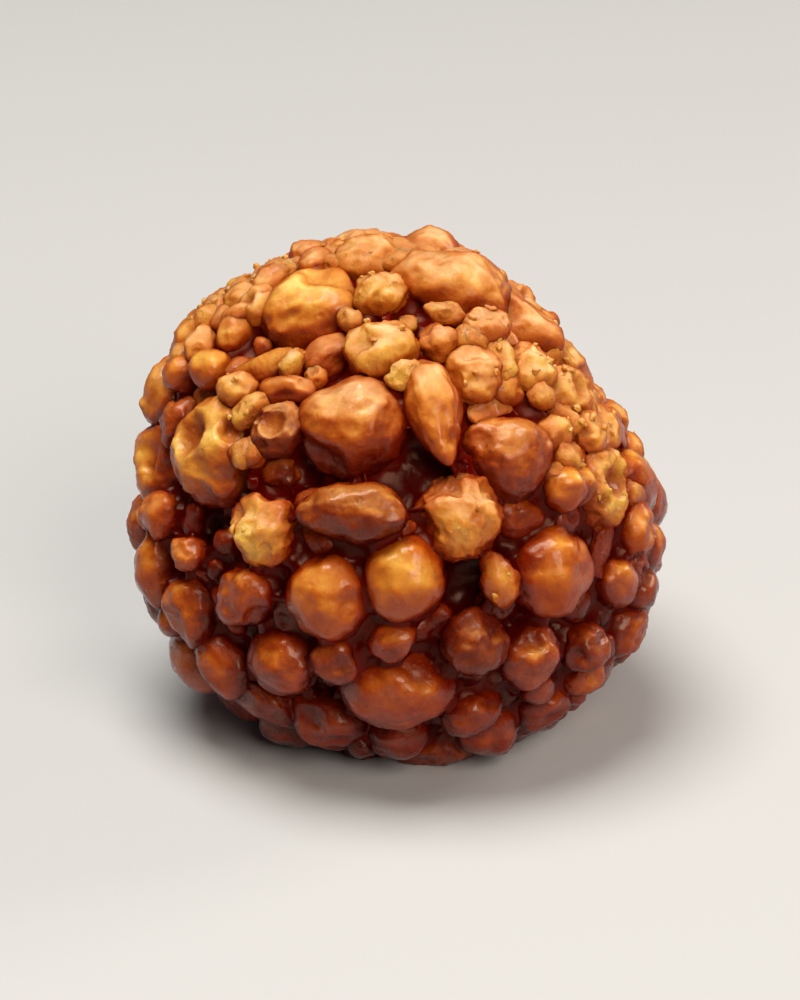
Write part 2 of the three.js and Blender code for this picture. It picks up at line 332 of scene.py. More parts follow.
for _ in range(crustBits["count"]):
    outward, room = roomiestDirection(drops, crustBits["tries"], keepOpen=True, only=whereCrusty)
    openFace = onFace(outward) and outward @ crustFlank < crustFlankEdge
    if room < crustBits["leastRoom"] + (crustBits["roomier"] if openFace else 0):
        continue
    size = draw(*crustBits["radius"])
    if openFace:
        size = min(size, room + crustBits["snug"])
    half = tuple(share * size for share in dropForms[anyKind()][1])
    drop = makeDrop("bead", outward, anyDirection(), half, 0, True, draw(*crustBits["deep"]))
    drop["tone"] = draw(*crustBits["tone"])
    drop["crumple"] = draw(*crustBits["crumple"])
    drops.append(drop)

# how a drop looks where the face has no say: the lower, the darker (partly syrup drained down, partly
# painted shade) and the less crumpled
strewnLooks = {
    "tone": 0.5,
    "palerOnTop": 0.22,
    "darkerInGaps": 0.18,
    "toneSpread": (-0.34, 0.34),
    "crumple": 0.35,
    "drierOnTop": 0.25,
    "crumpleSpread": (-0.35, 0.4),
}

# how finely a drop is made: the mean radius in mm that it is over, and the cuts across its block
detail = {"large": (3.0, 21), "middling": (2.1, 14), "small": (1.35, 8), "tiny": (0.0, 5)}


def clampShare(value):
    return min(1, max(0, value))


def layOut(drop):
    length = drop["along"] - drop["outward"] * (drop["along"] @ drop["outward"])
    length /= np.linalg.norm(length)
    width = np.cross(drop["outward"], length)
    drop["turned"] = np.array([length, width, drop["outward"]]).T  # its own X, Y and Z as columns
    drop["level"] = next(level for level, (over, _) in detail.items() if drop["radius"] > over)


dice = random.Random(ball["seed"])
for drop in drops:
    layOut(drop)
    up = drop["outward"][2]
    tone = strewnLooks["tone"] - strewnLooks["palerOnTop"] * up
    # painted shade: drops sunk in the face's gaps are made darker
    if drop["sunk"] is not None and onFace(drop["outward"]):
        tone += strewnLooks["darkerInGaps"]
    crumple = strewnLooks["crumple"] + strewnLooks["drierOnTop"] * up
    drop.setdefault("tone", clampShare(tone + dice.uniform(*strewnLooks["toneSpread"])))
    drop.setdefault("crumple", clampShare(crumple + dice.uniform(*strewnLooks["crumpleSpread"])))

# two more close the widest gaps of the back: towards, radius and depth in mm, tone, how crumpled
backDrops = [((-0.21, 0.88, 0.43), 1.8, 0.55, 0.35, 0.4), ((-0.04, 1.0, 0.08), 1.5, 0.75, 0.5, 0.3)]
for towards, size, deep, tone, crumple in backDrops:
    half = tuple(share * size for share in dropForms["bead"][1])
    drop = makeDrop("bead", towards / np.linalg.norm(towards), anyDirection(), half, 0, False, deep)
    drop["tone"] = tone
    drop["crumple"] = crumple
    layOut(drop)
    drops.append(drop)
print("drops laid out:", len(drops), "highest", max(d["middle"][2] for d in drops))


def selectOnly(*objects):
    bpy.ops.object.select_all(action="DESELECT")
    for obj in objects:
        obj.select_set(True)
    bpy.context.view_layer.objects.active = objects[0]


def useModifier(obj, kind, **settings):
    selectOnly(obj)
    bpy.ops.object.modifier_add(type=kind)
    modifier = obj.modifiers[-1]
    for key, value in settings.items():
        setattr(modifier, key, value)
    bpy.ops.object.modifier_apply(modifier=modifier.name)


def makeTexture(name, kind, size, **settings):
    texture = bpy.data.textures.new(name, type=kind)
    texture.noise_scale = size
    for key, value in settings.items():
        setattr(texture, key, value)
    return texture


def roughen(obj, texture, strength, **settings):
    useModifier(obj, "DISPLACE", texture=texture, texture_coords="LOCAL", strength=strength,
                mid_level=0.5, **settings)


def joinUp(objects, name):
    selectOnly(*objects)
    bpy.ops.object.join()
    joined = objects[0]
    joined.name = joined.data.name = name
    return joined


def remesh(obj, voxel):
    selectOnly(obj)
    obj.data.remesh_voxel_size = voxel
    bpy.ops.object.voxel_remesh()


def countTriangles(obj):
    return sum(len(polygon.vertices) - 2 for polygon in obj.data.polygons)


def pointsOf(obj):
    points = np.empty(len(obj.data.vertices) * 3)
    obj.data.vertices.foreach_get("co", points)
    return points.reshape(-1, 3)


def normalsOf(obj):
    normals = np.empty(len(obj.data.vertices) * 3)
    obj.data.vertex_normals.foreach_get("vector", normals)
    return normals.reshape(-1, 3)


def setPoints(obj, points):
    obj.data.vertices.foreach_set("co", points.ravel())
    obj.data.update()


def copyOf(obj):
    copy = obj.copy()
    copy.data = obj.data.copy()
    bpy.context.collection.objects.link(copy)
    return copy


def anyTurn(dice):
    angle = dice.uniform(0, 6.28)
    axis = Vector((dice.uniform(-1, 1), dice.uniform(-1, 1), dice.uniform(-1, 1)))
    return np.array(Matrix.Rotation(angle, 3, axis.normalized()))


def setValues(obj, name, values):
    attribute = obj.data.attributes.get(name) or obj.data.attributes.new(name, "FLOAT", "POINT")
    attribute.data.foreach_set("value", np.asarray(values, dtype=np.float32))


def selectPoints(obj, chosen):
    bpy.ops.object.mode_set(mode="EDIT")
    bpy.ops.mesh.select_mode(type="VERT")
    bpy.ops.mesh.select_all(action="DESELECT")
    bpy.ops.object.mode_set(mode="OBJECT")
    obj.data.vertices.foreach_set("select", np.asarray(chosen, dtype=bool))
    bpy.ops.object.mode_set(mode="EDIT")


def pull(obj, at, by, reach, falloff="SMOOTH"):
    # drags the point nearest to a place, and those around it along with it
    distance = np.linalg.norm(pointsOf(obj) - np.array(at), axis=1)
    selectPoints(obj, distance == distance.min())
    bpy.ops.transform.translate(value=by, use_proportional_edit=True,
                                proportional_edit_falloff=falloff, proportional_size=reach)
    bpy.ops.object.mode_set(mode="OBJECT")


def smoothStep(low, high, value):
    t = np.clip((value - low) / (high - low), 0, 1)
    return t * t * (3 - 2 * t)


# one of each drop is made of unit radius, with X along it and Z outwards
lumpy = makeTexture("lumpy", "CLOUDS", 0.85, noise_depth=1)
knobbly = makeTexture("knobbly", "CLOUDS", 0.34, noise_depth=2)
creased = makeTexture("creased", "VORONOI", 0.42, weight_1=-1.0, weight_2=1.0, noise_intensity=1.0)


def startBall(name, cuts):
    bpy.ops.object.select_all(action="DESELECT")
    bpy.ops.mesh.primitive_cube_add(size=1.4, location=(0, 0, 0))
    obj = bpy.context.object
    obj.name = name
    bpy.ops.object.mode_set(mode="EDIT")
    bpy.ops.mesh.subdivide(number_cuts=cuts)
    bpy.ops.transform.tosphere(value=1.0)
    bpy.ops.object.mode_set(mode="OBJECT")
    points = pointsOf(obj)
    setPoints(obj, points / np.linalg.norm(points, axis=1).mean())
    setValues(obj, "hollowShade", np.zeros(len(points)))
    return obj


def pushIn(obj, spot, deep, reach):
    pull(obj, spot, tuple(-deep * v for v in spot), reach)


def fry(obj, variant, patternAt, lumps, knobs, creases=0.0):
    # moved aside first, so that each one meets another part of the pattern
    shift = np.array(patternAt) * (variant + 1)
    points = pointsOf(obj)
    setPoints(obj, points + shift)
    roughen(obj, lumpy, lumps)
    roughen(obj, knobbly, knobs)
    if creases:
        roughen(obj, creased, creases)
    setPoints(obj, pointsOf(obj) - shift)


# each "fried" below is how strong the lumps, the knobs and the creases are, against the radius
beadForm = {
    "dents": [((0.3, 0.3, 0.9), 0.16), ((-0.7, 0.5, 0.5), 0.2), ((0.6, -0.7, 0.3), 0.14)],
    "dentReach": 0.62,
    # from the smooth round ones to the crumpled ones
    "dented": (0, 2, 3),
    "fried": [(0.20, 0.05), (0.30, 0.10, 0.05), (0.28, 0.15, 0.08)],
    "patternAt": (3.7, 1.3, 2.9),
}


def makeBead(name, cuts, variant):
    obj = startBall(name, cuts)
    for spot, deep in beadForm["dents"][:beadForm["dented"][variant]]:
        pushIn(obj, spot, deep, beadForm["dentReach"])
    fry(obj, variant, beadForm["patternAt"], *beadForm["fried"][variant])
    return obj


tearForm = {
    "taper": -0.45,
    "tip": (0.05, 0.12, -0.08),
    "tipReach": 1.2,
    "fried": (0.22, 0.09, 0.04),
    "patternAt": (1.1, 4.3, 0.7),
}


def makeTear(name, cuts, variant):
    obj = startBall(name, cuts)
    useModifier(obj, "SIMPLE_DEFORM", deform_method="TAPER", deform_axis="X", factor=tearForm["taper"])
    along, aside, up = tearForm["tip"]
    pull(obj, (1, 0, 0), (along, aside * (1 - 2 * variant), up), tearForm["tipReach"])
    fry(obj, variant, tearForm["patternAt"], *tearForm["fried"])
    return obj


craterForm = {
    # where each hollow is, how deep and how wide
    "hollows": [
        [((0.15, 0.1, 1.0), 0.46, 0.55), ((-0.65, 0.35, 0.7), 0.2, 0.3), ((0.4, -0.7, 0.6), 0.22, 0.32)],
        [((0.25, -0.1, 1.0), 0.5, 0.62), ((-0.6, -0.5, 0.6), 0.3, 0.3), ((-0.3, 0.6, 0.7), 0.26, 0.26)],
    ],
    "hollowFrom": (0.62, 0.95),  # distance from the middle of its deepest part and of its edge
    "fried": (0.22, 0.14, 0.05),
    "patternAt": (5.1, 2.2, 3.3),
}


def makeCrater(name, cuts, variant):
    obj = startBall(name, cuts)
    for spot, deep, reach in craterForm["hollows"][variant]:
        pushIn(obj, spot, deep, reach)
    # where the crater's painted shade goes, full in its hollows
    hollowShade = 1 - smoothStep(*craterForm["hollowFrom"], np.linalg.norm(pointsOf(obj), axis=1))
    fry(obj, variant, craterForm["patternAt"], *craterForm["fried"])
    setValues(obj, "hollowShade", hollowShade)
    return obj


twinForm = {
    # the size and the place of each
    "balls": [((0.62, 0.95, 0.95), (0.42, 0.04, 0)), ((0.52, 0.78, 0.8), (-0.5, -0.06, 0.06))],
    "voxelRow": 1.75,  # the length that its voxels share, one for each cut and two more
    "fried": (0.2, 0.1, 0.04),
    "patternAt": (2.6, 0.4, 5.9),
}


def makeTwin(name, cuts, variant):
    halves = [startBall(name, cuts), startBall(name + "Other", cuts)]
    for half, (size, place) in zip(halves, twinForm["balls"]):
        setPoints(half, pointsOf(half) * size + place)
    obj = joinUp(halves, name)
    remesh(obj, twinForm["voxelRow"] / (cuts + 2))
    useModifier(obj, "SMOOTH", factor=0.6, iterations=3)
    fry(obj, variant, twinForm["patternAt"], *twinForm["fried"])
    setValues(obj, "hollowShade", np.zeros(len(obj.data.vertices)))
    return obj


flakeForm = {
    # where it is dragged, how far and how much of it comes along
    "corners": [((0.9, 0.3, 0), (0.05, 0.1, 0.5), 0.9), ((-0.8, -0.5, 0), (-0.05, -0.1, -0.6), 0.8)],
    "edge": ((0, 0.9, 0.2), (0, -0.3, 0.1), 0.5),
    "fried": (0.26, 0.16, 0.06),
    "patternAt": (0.6, 3.1, 4.7),
}


def makeFlake(name, cuts, variant):
    obj = startBall(name, cuts)
    for spot, (along, aside, up), reach in flakeForm["corners"]:
        pull(obj, spot, (along, aside, up * (1 - 2 * variant)), reach)
    pull(obj, *flakeForm["edge"], "SHARP")
    fry(obj, variant, flakeForm["patternAt"], *flakeForm["fried"])
    return obj


makers = {"bead": (makeBead, 3), "oval": (makeBead, 3), "drop": (makeTear, 2),
          "crater": (makeCrater, 2), "twin": (makeTwin, 1), "flake": (makeFlake, 2)}
masters = {}
for kind, (make, variants) in makers.items():
    for level, (_, cuts) in detail.items():
        for variant in range(variants):
            key = (make.__name__, level, variant)
            if key not in masters:
                masters[key] = make(f"{make.__name__}{level}{variant}", cuts, variant)
print("one of each drop made:", len(masters))


# copies of them, pressed against their neighbours
middles = np.array([d["middle"] for d in drops])
radii = np.array([max(d["half"]) for d in drops])
farOff = 9.0  # mm, more than any gap

giveWay = {
    "near": 1.5,  # mm between two drops that may touch
    "most": 0.3,  # how far inside its neighbour a point still counts
    "share": 0.2,  # of that, how far it is pushed out
}

# where syrup soaks in and where shade is painted: darker between neighbours that are close, near the
# core, less on top, more below
soaking = {
    "closeWithin": 1.1,  # mm
    "closeSoakAndShade": 0.6,
    "lowWithin": (0.3, 2.7),  # mm above the core
    "low": 0.9,
    "drainedFrom": 0.85,  # share of the way up
    "drained": 0.6,
    "pooledFrom": 0.9,  # share of the way down
    "pooledAndShaded": 0.3,
}
footUnevenness = 0.04  # mm
crumpledFrom = (0.3, 0.6)  # how crumpled a bead is that has the second form, and the third


def shareOfWayOut(points, drop):
    # from the drop's middle, with its skin at 1
    inside = (points - drop["middle"]) @ drop["turned"] / drop["half"]
    return np.linalg.norm(inside, axis=1)


def aboveCore(points):
    height = np.linalg.norm(points, axis=1)
    return height - reachTowards(points / height[:, None]) + ball["coreDepth"]


def shareOfWayUp(points):
    return points[:, 2] / np.linalg.norm(points, axis=1)


def placeCopy(drop, index):
    make, variants = makers[drop["kind"]]
    dice = random.Random(index)
    variant = dice.randrange(variants)
    if make is makeBead:
        variant = sum(drop["crumple"] >= limit for limit in crumpledFrom)
    copy = copyOf(masters[(make.__name__, drop["level"], variant)])
    points = pointsOf(copy)
    if make is makeBead:  # a bead has no right way up, so it is turned any way first
        points = points @ anyTurn(dice).T
    elif dice.random() < 0.5 and make is not makeCrater:
        points = points * [-1, -1, 1]
    points = (points * drop["half"]) @ drop["turned"].T + drop["middle"]

    # how close the nearest neighbour is, and giving way to those that would be run through
    gap = np.full(len(points), farOff)
    near = np.linalg.norm(middles - drop["middle"], axis=1) < radii + radii[index] + giveWay["near"]
    near[index] = False
    for other in np.nonzero(near)[0]:
        neighbour = drops[other]
        share = shareOfWayOut(points, neighbour)
        gap = np.minimum(gap, (share - 1) * neighbour["radius"])
        push = np.clip(1 / share - 1, 0, giveWay["most"]) * giveWay["share"]
        points = points + (points - neighbour["middle"]) * push[:, None]
    # painted shade as well as syrup: darker close to a neighbour, near the core and low down
    closeSoakAndShade = soaking["closeSoakAndShade"] * (1 - smoothStep(0, soaking["closeWithin"], gap))
    low = soaking["low"] * (1 - smoothStep(*soaking["lowWithin"], aboveCore(points)))
    drained = smoothStep(0, soaking["drainedFrom"], shareOfWayUp(points))
    pooledAndShaded = smoothStep(0, soaking["pooledFrom"], -shareOfWayUp(points))
    soakAndShade = (1 - (1 - closeSoakAndShade) * (1 - low)) * (1 - soaking["drained"] * drained)
    setValues(copy, "soakAndShade", np.clip(soakAndShade + soaking["pooledAndShaded"] * pooledAndShaded, 0, 1))
    setValues(copy, "drained", drained)
    setValues(copy, "tone", np.full(len(points), drop["tone"]))
    setValues(copy, "crumple", np.full(len(points), drop["crumple"]))
    group = copy.vertex_groups.new(name="crumple")
    group.add(range(len(points)), drop["crumple"], "REPLACE")
    points[:, 2] = np.maximum(points[:, 2] + ball["middleHeight"], footUnevenness * dice.random())
    setPoints(copy, points * mm)
    return copy


pieceOf = {"bead": "boondi_beads", "oval": "boondi_ovals", "drop": "boondi_tears",
           "crater": "boondi_craters", "twin": "boondi_twins", "flake": "boondi_flakes"}
heaps = {}
for index, drop in enumerate(drops):
    name = pieceOf[drop["kind"]]
    if drop["sunk"] is not None:
        name = "boondi_crust" if drop["staysPut"] else "boondi_in_gaps"
    elif drop["kind"] == "bead":
        name += "_gold" if drop["tone"] < 0.5 else "_amber"
    heaps.setdefault(name, []).append(placeCopy(drop, index))
    drop["piece"] = name
print("copies placed")

# the relief of the skin: how large each pattern is and how strong, in mm
skin = {"dents": (3.2, 0.8), "wrinkles": (1.3, 0.34), "grit": (0.7, 0.2), "smoothGrit": 0.06}
dented = makeTexture("dented", "CLOUDS", skin["dents"][0] * mm, noise_depth=1)
wrinkled = makeTexture("wrinkled", "MUSGRAVE", skin["wrinkles"][0] * mm,
                       musgrave_type="RIDGED_MULTIFRACTAL", noise_intensity=0.6)
gritty = makeTexture("gritty", "CLOUDS", skin["grit"][0] * mm, noise_depth=2)


def setCrown(obj):
    # how far each point faces up
    setValues(obj, "crown", normalsOf(obj)[:, 2] * 0.5 + 0.5)


pieces = {}
for name, copies in heaps.items():
    piece = joinUp(copies, name)
    roughen(piece, dented, skin["dents"][1] * mm)
    roughen(piece, wrinkled, skin["wrinkles"][1] * mm, vertex_group="crumple")
    roughen(piece, gritty, skin["grit"][1] * mm, vertex_group="crumple")
    roughen(piece, gritty, skin["smoothGrit"] * mm)
    points = pointsOf(piece)
    points[:, 2] = np.maximum(points[:, 2], 0)
    setPoints(piece, points)
    piece.vertex_groups.clear()
    setCrown(piece)
    bpy.ops.object.shade_smooth()
    pieces[name] = piece
    print(name, len(copies), "drops,", countTriangles(piece), "triangles")


# crumbs that cling to the crumpled drops
crumbs = {
    "count": 170,
    "radius": (0.1, 0.32),  # mm
    "length": (1.0, 1.5),  # against the radius, as the flatness is
    "flatness": (0.5, 1.0),
    "cuts": 3,
    "fried": (1.1, 0.9),
    "patternAt": (2.2, 5.3, 1.9),
    "sunk": 0.35,  # share of its depth in the drop that it clings to
    "spread": 0.55,  # to the sides of the drop
    "aboveFoot": 0.02,  # mm at least
    "toneSpread": (-0.12, 0.12),
    "soakAndShade": (0.0, 0.08),
    # the drops that carry them, and the chance of one that doesn't face up
    "hostRadius": 1.6,
    "hostCrumple": 0.5,
    "hostTone": 0.6,
    "aside": 0.35,
}

crumbMaster = startBall("crumb", crumbs["cuts"])
fry(crumbMaster, 0, crumbs["patternAt"], *crumbs["fried"])
hosts = [d for d in drops if d["radius"] > crumbs["hostRadius"] and d["crumple"] > crumbs["hostCrumple"]
         and d["tone"] < crumbs["hostTone"] and (d["sunk"] is None or d["staysPut"])]
chances = [d["crumple"] ** 2 * (crumbs["aside"] + max(0, d["outward"][2])) for d in hosts]


def makeCrumb(host):
    side = np.array([dice.gauss(0, crumbs["spread"]), dice.gauss(0, crumbs["spread"]), 1.0])
    spot = host["middle"] + host["turned"] @ (side / np.linalg.norm(side) * host["half"])
    size = dice.uniform(*crumbs["radius"])
    _, spot, outward, _ = pieces[host["piece"]].closest_point_on_mesh(
        Vector((spot + [0, 0, ball["middleHeight"]]) * mm))
    spot = np.array(spot) / mm + np.array(outward) * size * (1 - 2 * crumbs["sunk"])
    turned = anyTurn(dice)
    long = dice.uniform(*crumbs["length"])
    flat = dice.uniform(*crumbs["flatness"])
    bit = copyOf(crumbMaster)
    points = pointsOf(bit) @ turned.T * [size * long, size, size * flat]
    points = points @ host["turned"].T + spot
    points[:, 2] = np.maximum(points[:, 2], crumbs["aboveFoot"])
    setPoints(bit, points * mm)
    setValues(bit, "soakAndShade", np.full(len(points), dice.uniform(*crumbs["soakAndShade"])))
    tone = clampShare(host["tone"] + dice.uniform(*crumbs["toneSpread"]))
    setValues(bit, "tone", np.full(len(points), tone))
    setValues(bit, "crumple", np.ones(len(points)))
    setValues(bit, "drained", np.ones(len(points)))
    return bit


bits = [makeCrumb(dice.choices(hosts, chances)[0]) for _ in range(crumbs["count"])]
crumbHeap = joinUp(bits, "boondi_crumbs")
setCrown(crumbHeap)
bpy.ops.object.shade_smooth()
pieces["boondi_crumbs"] = crumbHeap
bpy.data.objects.remove(crumbMaster)
print("crumbs:", countTriangles(crumbHeap), "triangles")


# the syrup that fills the gaps and draws up between the drops, in mm
syrup = {
    "deep": 1.5,  # of its core below the solid's, so that the gaps are deep
    "foot": 0.1,  # of its core above the flat spot
    "voxel": 0.4,
    "bridging": 0.6,  # half the width of the gaps that it closes over
    "below": 0.45,  # how far the drops stand out of it
    "drained": 0.7,  # how much further they do on top, where it has run down
    "drainedFrom": (0.1, 0.8),  # share of the way up
    "unevenness": 0.4,
    "pools": 2.2,
    "smoothing": {"factor": 0.5, "iterations": 4},
    "gapWithin": (-0.3, 1.2),  # from the nearest drop, where the syrup is thin and where it is thick
    "lowWithin": (0.0, 2.4),  # above the core
    "thinnerOnTop": 0.7,
    "aboveFoot": 0.03,  # at least
}


def placesOf(obj):
    # in mm from the ball's middle
    return pointsOf(obj) / mm - [0, 0, ball["middleHeight"]]


bpy.ops.object.select_all(action="DESELECT")
bpy.ops.mesh.primitive_ico_sphere_add(subdivisions=6, radius=1, location=(0, 0, 0))
syrupCore = bpy.context.object
points = pointsOf(syrupCore)
points *= (reachTowards(points) - ball["coreDepth"] - syrup["deep"])[:, None]
points[:, 2] = np.maximum(points[:, 2] + ball["middleHeight"], syrup["foot"])
setPoints(syrupCore, points * mm)
lining = []
for name in heaps:
    copy = copyOf(pieces[name])
    useModifier(copy, "DISPLACE", strength=syrup["bridging"] * mm, mid_level=0.0)
    lining.append(copy)
joinUp([syrupCore, *lining], "syrup_core")
remesh(syrupCore, syrup["voxel"] * mm)
useModifier(syrupCore, "SMOOTH", **syrup["smoothing"])
useModifier(syrupCore, "DISPLACE", strength=-(syrup["below"] + syrup["bridging"]) * mm, mid_level=0.0)
remesh(syrupCore, syrup["voxel"] * mm)  # again, so that thin folds go
dryness = smoothStep(*syrup["drainedFrom"], shareOfWayUp(placesOf(syrupCore)))
group = syrupCore.vertex_groups.new(name="drained")
for index, weight in enumerate(dryness.tolist()):
    if weight:
        group.add((index,), weight, "REPLACE")
useModifier(syrupCore, "DISPLACE", strength=-syrup["drained"] * mm, mid_level=0.0,
            vertex_group="drained")
useModifier(syrupCore, "SMOOTH", **syrup["smoothing"])
pools = makeTexture("pools", "CLOUDS", syrup["pools"] * mm, noise_depth=1)
roughen(syrupCore, pools, syrup["unevenness"] * mm)
points = pointsOf(syrupCore)
points[:, 2] = np.maximum(points[:, 2], syrup["aboveFoot"] * mm)
setPoints(syrupCore, points)
bpy.ops.object.shade_smooth()
print("syrup:", countTriangles(syrupCore), "triangles")

# how thick and dark it looks: more in the wide gaps and low down, less on top; partly thicker syrup,
# partly painted shade
places = placesOf(syrupCore)
nearest = np.full(len(places), farOff)
for drop in drops:
    nearest = np.minimum(nearest, (shareOfWayOut(places, drop) - 1) * drop["radius"])
inWideGaps = smoothStep(*syrup["gapWithin"], nearest)
lowDown = 1 - smoothStep(*syrup["lowWithin"], aboveCore(places))
onTop = smoothStep(*syrup["drainedFrom"], shareOfWayUp(places))
setValues(syrupCore, "thickAndShaded", (inWideGaps + lowDown) / 2 * (1 - syrup["thinnerOnTop"] * onTop))


def makeGroup(name, inputs, outputs):
    group = bpy.data.node_groups.new(name, "ShaderNodeTree")
    for label, kind, value in inputs:
        socket = group.interface.new_socket(name=label, in_out="INPUT", socket_type=kind)
        socket.default_value = value
    for label, kind in outputs:
        group.interface.new_socket(name=label, in_out="OUTPUT", socket_type=kind)
    return group, group.nodes.new("NodeGroupInput"), group.nodes.new("NodeGroupOutput")


def addNode(tree, kind, **settings):
    node = tree.nodes.new(kind)
    for key, value in settings.items():
        node.inputs[key].default_value = value
    return node


def addMath(tree, operation, a, b=None, clamp=False):
    node = tree.nodes.new("ShaderNodeMath")
    node.operation = operation
    node.use_clamp = clamp
    for socket, value in zip(node.inputs, (a, b)):
        if isinstance(value, bpy.types.NodeSocket):
            tree.links.new(value, socket)
        elif value is not None:
            socket.default_value = value
    return node.outputs[0]


def addRange(tree, value, low, high, toLow=0.0, toHigh=1.0, smooth=False):
    node = tree.nodes.new("ShaderNodeMapRange")
    if smooth:
        node.interpolation_type = "SMOOTHSTEP"
    tree.links.new(value, node.inputs["Value"])
    for key, number in (("From Min", low), ("From Max", high), ("To Min", toLow), ("To Max", toHigh)):
        node.inputs[key].default_value = number
    return node.outputs["Result"]


def addMix(tree, factor, a, b, blend="MIX"):
    node = tree.nodes.new("ShaderNodeMix")
    node.data_type = "RGBA"
    node.blend_type = blend
    for socket, value in ((node.inputs[0], factor), (node.inputs[6], a), (node.inputs[7], b)):
        if isinstance(value, bpy.types.NodeSocket):
            tree.links.new(value, socket)
        else:
            socket.default_value = value
    return node.outputs[2]


def attributeOf(tree, name):
    node = tree.nodes.new("ShaderNodeAttribute")
    node.attribute_name = name
    return node.outputs["Fac"]


def addNoise(tree, **settings):
    noise = addNode(tree, "ShaderNodeTexNoise", **settings)
    coords = addNode(tree, "ShaderNodeTexCoord")
    tree.links.new(coords.outputs["Object"], noise.inputs["Vector"])
    return noise


# Fried crust: fine grain, pores and browned specks
grain, grainIn, grainOut = makeGroup(
    "fried crust",
    [("Grain Size", "NodeSocketFloat", 2200.0), ("Pore Size", "NodeSocketFloat", 900.0),
     ("Roughness", "NodeSocketFloat", 0.6)],
    [("Shade", "NodeSocketFloat"), ("Height", "NodeSocketFloat")])
fine = addNoise(grain, Detail=6.0)
pores = addNode(grain, "ShaderNodeTexVoronoi")
coords = addNode(grain, "ShaderNodeTexCoord")
grain.links.new(coords.outputs["Object"], pores.inputs["Vector"])
grain.links.new(grainIn.outputs["Grain Size"], fine.inputs["Scale"])
grain.links.new(grainIn.outputs["Roughness"], fine.inputs["Roughness"])
grain.links.new(grainIn.outputs["Pore Size"], pores.inputs["Scale"])
pitted = addRange(grain, pores.outputs["Distance"], 0.12, 0.3, 1.0, 0.0, smooth=True)
grain.links.new(fine.outputs["Fac"], grainOut.inputs["Shade"])
height = addMath(grain, "SUBTRACT", fine.outputs["Fac"], addMath(grain, "MULTIPLY", pitted, 0.5))
grain.links.new(height, grainOut.inputs["Height"])

# Syrup tint: what is left of the light after a depth of syrup
tint, tintIn, tintOut = makeGroup(
    "syrup tint",
    [("Depth", "NodeSocketFloat", 0.5), ("Red", "NodeSocketFloat", 0.9),
     ("Green", "NodeSocketFloat", 2.35), ("Blue", "NodeSocketFloat", 4.0)],
    [("Color", "NodeSocketColor")])
combined = addNode(tint, "ShaderNodeCombineColor")
for channel in ("Red", "Green", "Blue"):
    loss = addMath(tint, "MULTIPLY", tintIn.outputs["Depth"], tintIn.outputs[channel])
    left = addMath(tint, "EXPONENT", addMath(tint, "MULTIPLY", loss, -1.0))
    tint.links.new(left, combined.inputs[channel])
tint.links.new(combined.outputs["Color"], tintOut.inputs["Color"])

# Syrup film: where it has pooled and run
film, filmIn, filmOut = makeGroup(
    "syrup film",
    [("Patch Size", "NodeSocketFloat", 420.0), ("Amount", "NodeSocketFloat", 0.5)],
    [("Film", "NodeSocketFloat")])
patches = addNoise(film, Detail=3.0, Roughness=0.55)
film.links.new(filmIn.outputs["Patch Size"], patches.inputs["Scale"])
patchy = addRange(film, patches.outputs["Fac"], 0.35, 0.65, -0.5, 0.5)
wet = addMath(film, "ADD", patchy, filmIn.outputs["Amount"], clamp=True)
film.links.new(wet, filmOut.inputs["Film"])


def startMaterial(name, **settings):
    material = bpy.data.materials.new(name)
    material.use_nodes = True
    tree = material.node_tree
    shader = tree.nodes["Principled BSDF"]
    for key, value in settings.items():
        shader.inputs[key.replace("_", " ")].default_value = value
    return material, tree, shader


def addRelief(tree, shader, height, strength, distance):
    relief = addNode(tree, "ShaderNodeBump", Strength=strength, Distance=distance)
    tree.links.new(height, relief.inputs["Height"])
    tree.links.new(relief.outputs["Normal"], shader.inputs["Normal"])


def useGroup(tree, group, **settings):
    node = tree.nodes.new("ShaderNodeGroup")
    node.node_tree = group
    for key, value in settings.items():
        node.inputs[key.replace("_", " ")].default_value = value
    return node


# a pair whose name ends in From is where an effect starts and where it is full
fried = {
    "tones": [(0.0, (0.86, 0.65, 0.15)), (0.25, (0.81, 0.55, 0.135)), (0.5, (0.73, 0.395, 0.078)),
              (0.75, (0.56, 0.215, 0.032)), (1.0, (0.30, 0.07, 0.014))],
    "mottleSize": 520.0,
    "mottle": 0.15,  # how far the tone goes up and down from patch to patch
    "grain": 0.09,  # and from grain to grain
    # paler on top: painted top light, partly the drier crust where the syrup has run down
    "crown": (0.84, 0.54, 0.11),
    "dryLitCrown": (0.78, 0.56, 0.35),
    "crownFrom": (0.62, 1.0),
    "crownShare": 0.8,
    "crownWet": 0.35,  # how much of it shows where the drop isn't dry
    "drainedFrom": (0.86, 1.0),
    "darkFrom": (0.1, 0.35),
    "paleDry": 0.3,  # how dry the palest drops get, against the others
    "crumpledFrom": (0.2, 0.8),
    # painted shade in the crater hollows, and browned specks
    "hollowShade": (0.50, 0.19, 0.02),
    "hollowShare": 0.8,
    "specks": (0.20, 0.04, 0.01),
    "specksFrom": (0.58, 0.75),
    "speckShare": 0.5,
    # the depth of syrup that the color is seen through, which also paints shade between neighbours, low
    # down, underneath and at the outlines
    "soakPower": 1.4,
    "soakDepth": (0.05, 1.45),  # where it is dry and where it is soaked
    "patchDepth": 0.24,
    "underShadeDepth": 0.95,  # painted shade, more where it faces sideways or down
    "underShadeFrom": (0.95, 0.35),
    "underShadeCrumpled": 0.2,  # how much of that where it is crumpled
    # painted shade at each drop's outline
    "rimShadeFrom": (0.35, 1.0),
    # how wet it is
    "soakFilm": 0.5,
    "skinFilm": (0.9, 0.25),  # where it is smooth and where it is crumpled
    "drainedLess": 0.4,
    "dryRoughness": (0.5, 0.2),  # of a smooth drop, and what a broken one has more
    "wetRoughness": 0.26,
    "coat": (0.42, 0.08),  # where it is half soaked and where it is soaked
    "smoothRelief": 0.45,  # how much of the fine relief shows where it is smooth
}


